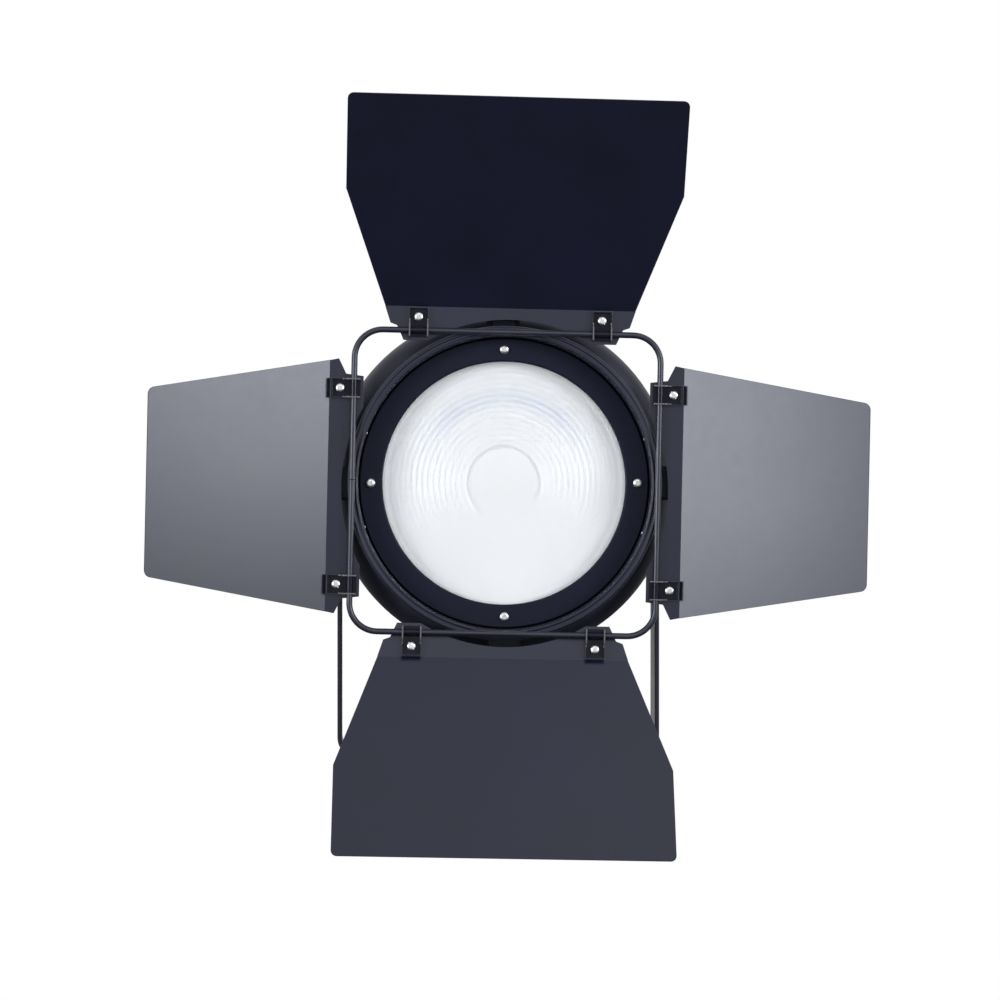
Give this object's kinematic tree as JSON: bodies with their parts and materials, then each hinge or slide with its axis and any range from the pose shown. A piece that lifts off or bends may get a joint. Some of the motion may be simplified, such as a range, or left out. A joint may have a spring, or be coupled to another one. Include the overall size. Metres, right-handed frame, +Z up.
{
  "type": "fresnel light",
  "caption": "Round stage and film light with a stepped lens behind clear filter glass, tilting yoke with stand socket and a turning four-leaf barn door on a rod hinge frame.",
  "frame": {"origin": "centre of the mouth of the stand socket under the yoke", "axes": "+Z up; the beam leaves towards -Y; +X is the right side of the pictured front"},
  "size_m": [0.5768, 0.4436, 0.6071],
  "materials": {
    "housing_black": "satin black enamel on cast and extruded aluminium",
    "leaf_black": "satin black paint on steel sheet",
    "flat_black": "matt black",
    "rod_black": "satin black paint on round rod",
    "yoke_black": "black powder coat",
    "bare_steel": "zinc-plated steel",
    "black_steel": "blackened steel, semi-gloss",
    "aluminium": "machined",
    "clear_glass": "polished, clear",
    "lens_glass": "moulded, stippled at the back",
    "lamp_glass": "clear",
    "mirror": "polished",
    "ceramic": "unglazed",
    "black_plastic": "moulded, lightly textured"
  },
  "bodies": {
    "stand": {"yoke_strap": "yoke_black", "stand_socket": "black_steel", "socket_bolt": "bare_steel"},
    "socket_clamp": {"socket_clamp_screw": "bare_steel"},
    "head": {"pivot_plate_left": "black_steel", "pivot_plate_right": "black_steel", "pivot_bolt_right": "bare_steel", "pivot_washer_right": "black_plastic", "housing_barrel": "housing_black", "front_bezel": "housing_black", "filter_glass": "clear_glass", "filter_ring": "flat_black", "filter_screw_1": "bare_steel", "filter_screw_2": "bare_steel", "filter_screw_3": "bare_steel", "filter_screw_4": "bare_steel", "fresnel_lens": "lens_glass", "lens_ring": "aluminium", "ear_right": "housing_black", "ear_bottom": "housing_black", "ear_left": "housing_black", "latch_bracket": "black_steel", "rear_cover": "housing_black", "rear_handle": "black_plastic", "base_housing": "housing_black", "supply_inlet": "black_plastic", "top_vent": "housing_black", "guide_rod_left": "bare_steel", "guide_rod_right": "bare_steel"},
    "tilt_lock": {"tilt_lock_knob": "black_plastic"},
    "latch": {"top_latch": "housing_black"},
    "focus": {"focus_screw": "bare_steel", "focus_knob": "black_plastic"},
    "carriage": {"lamp_carriage": "aluminium", "lamp_mirror": "mirror", "lamp_socket": "ceramic", "lamp_bulb": "lamp_glass"},
    "switch": {"power_switch": "black_plastic"},
    "door": {"door_ring": "housing_black", "hinge_frame": "rod_black"},
    "leaf_top": {"leaf_top": "leaf_black", "hinge_clip_top_1": "black_steel", "hinge_clip_top_2": "black_steel", "clip_screw_top_1": "bare_steel", "clip_screw_top_2": "bare_steel"},
    "leaf_right": {"leaf_right": "leaf_black", "hinge_clip_right_1": "black_steel", "hinge_clip_right_2": "black_steel", "clip_screw_right_1": "bare_steel", "clip_screw_right_2": "bare_steel"},
    "leaf_bottom": {"leaf_bottom": "leaf_black", "hinge_clip_bottom_1": "black_steel", "hinge_clip_bottom_2": "black_steel", "clip_screw_bottom_1": "bare_steel", "clip_screw_bottom_2": "bare_steel"},
    "leaf_left": {"leaf_left": "leaf_black", "hinge_clip_left_1": "black_steel", "hinge_clip_left_2": "black_steel", "clip_screw_left_1": "bare_steel", "clip_screw_left_2": "bare_steel"}
  },
  "joints": [
    {"name": "head_tilt", "type": "hinge", "parent": "stand", "child": "head", "pos_m": [0, 0, 0.2863], "axis": [1, 0, 0], "range_deg": [-85, 38]},
    {"name": "socket_clamp_turn", "type": "hinge", "parent": "stand", "child": "socket_clamp", "pos_m": [0, 0.034, 0.025], "axis": [0, 1, 0], "range_deg": [-180, 180]},
    {"name": "tilt_lock_turn", "type": "hinge", "parent": "head", "child": "tilt_lock", "pos_m": [-0.15, 0, 0.2863], "axis": [1, 0, 0], "range_deg": [-180, 180]},
    {"name": "latch_lift", "type": "hinge", "parent": "head", "child": "latch", "pos_m": [0, -0.1186, 0.4233], "axis": [-1, 0, 0], "range_deg": [0, 45], "stiffness_Nm_per_rad": 0.03, "springref_deg": -28.65},
    {"name": "carriage_slide", "type": "slide", "parent": "head", "child": "carriage", "axis": [0, 1, 0], "range_m": [-0.03, 0.03]},
    {"name": "focus_turn", "type": "hinge", "parent": "head", "child": "focus", "pos_m": [0, 0.16, 0.2023], "axis": [0, 1, 0], "range_deg": [-540, 540]},
    {"name": "switch_rock", "type": "hinge", "parent": "head", "child": "switch", "pos_m": [0.046, 0.1485, 0.2243], "axis": [1, 0, 0], "range_deg": [0, 14]},
    {"name": "door_turn", "type": "hinge", "parent": "head", "child": "door", "pos_m": [0, -0.15, 0.2863], "axis": [0, 1, 0], "continuous": true},
    {"name": "leaf_top_fold", "type": "hinge", "parent": "door", "child": "leaf_top", "pos_m": [0.00268, -0.15, 0.40927], "axis": [0.9998, 0, -0.0218], "range_deg": [-25, 145]},
    {"name": "leaf_right_fold", "type": "hinge", "parent": "door", "child": "leaf_right", "pos_m": [0.12497, -0.15, 0.28357], "axis": [-0.0218, 0, -0.9998], "range_deg": [-28, 152]},
    {"name": "leaf_bottom_fold", "type": "hinge", "parent": "door", "child": "leaf_bottom", "pos_m": [-0.00268, -0.15, 0.16333], "axis": [0.9998, 0, -0.0218], "range_deg": [-137, 33]},
    {"name": "leaf_left_fold", "type": "hinge", "parent": "door", "child": "leaf_left", "pos_m": [-0.12497, -0.15, 0.28903], "axis": [-0.0218, 0, -0.9998], "range_deg": [-152, 28]}
  ],
  "couplings": [
    {"joint": "focus_turn", "follows": "carriage_slide", "rad_per_m": 314.16}
  ]
}
